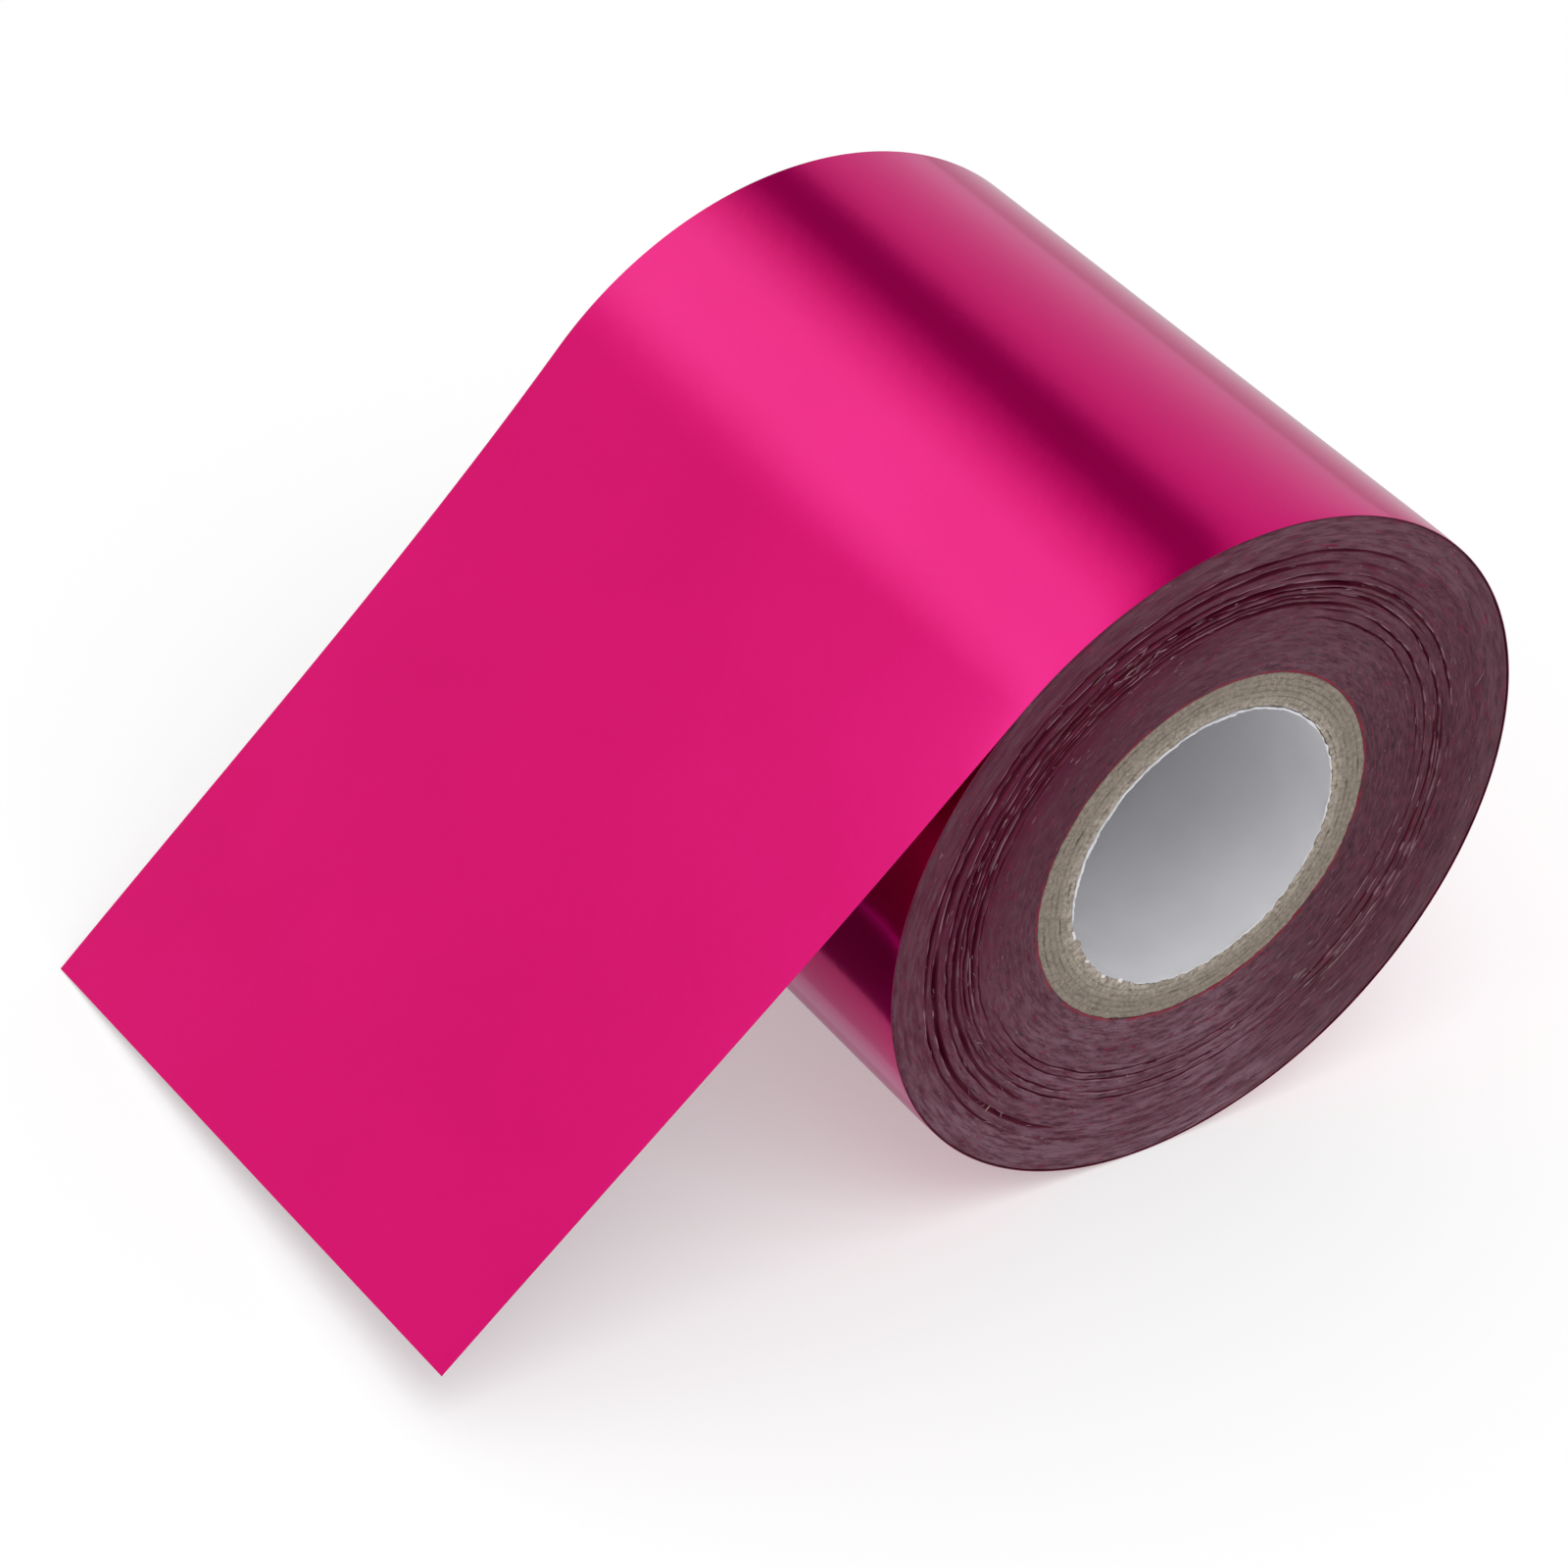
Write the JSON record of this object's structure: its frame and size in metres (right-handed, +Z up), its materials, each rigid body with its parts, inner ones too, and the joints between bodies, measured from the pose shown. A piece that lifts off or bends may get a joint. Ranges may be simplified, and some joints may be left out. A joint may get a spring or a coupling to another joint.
{
  "type": "foil roll",
  "caption": "Wide roll of bright pink metallised transfer foil wound on a greyboard tube core with a white paper lining, its square-cut free end drawn off to the table.",
  "frame": {"origin": "centre of the core's bore, half way along the core", "axes": "+Y along the bore from the dished end to the proud end of the roll, +Z up with the roll lying on its side, free end of the web towards -X"},
  "size_m": [0.0981, 0.0608, 0.0618],
  "materials": {
    "foil_face": "mirror satin, metallised",
    "foil_edge": "stacked slit edges, satin",
    "greyboard": "raw cut board",
    "liner_paper": "smooth white paper",
    "tape": "clear-amber adhesive tape"
  },
  "bodies": {
    "free_end": {"foil_leader": "foil_face"},
    "roll": {"core_liner": "liner_paper", "core_ply_1": "greyboard", "core_ply_2": "greyboard", "core_ply_3": "greyboard", "core_ply_4": "greyboard", "core_ply_5": "greyboard", "core_ply_6": "greyboard", "start_tape": "tape", "foil_winding": "foil_edge", "foil_outer_turn": "foil_face"}
  },
  "joints": [
    {"name": "roll_turn", "type": "hinge", "parent": "free_end", "child": "roll", "pos_m": [0, 0, 0], "axis": [0, 1, 0], "continuous": true}
  ]
}
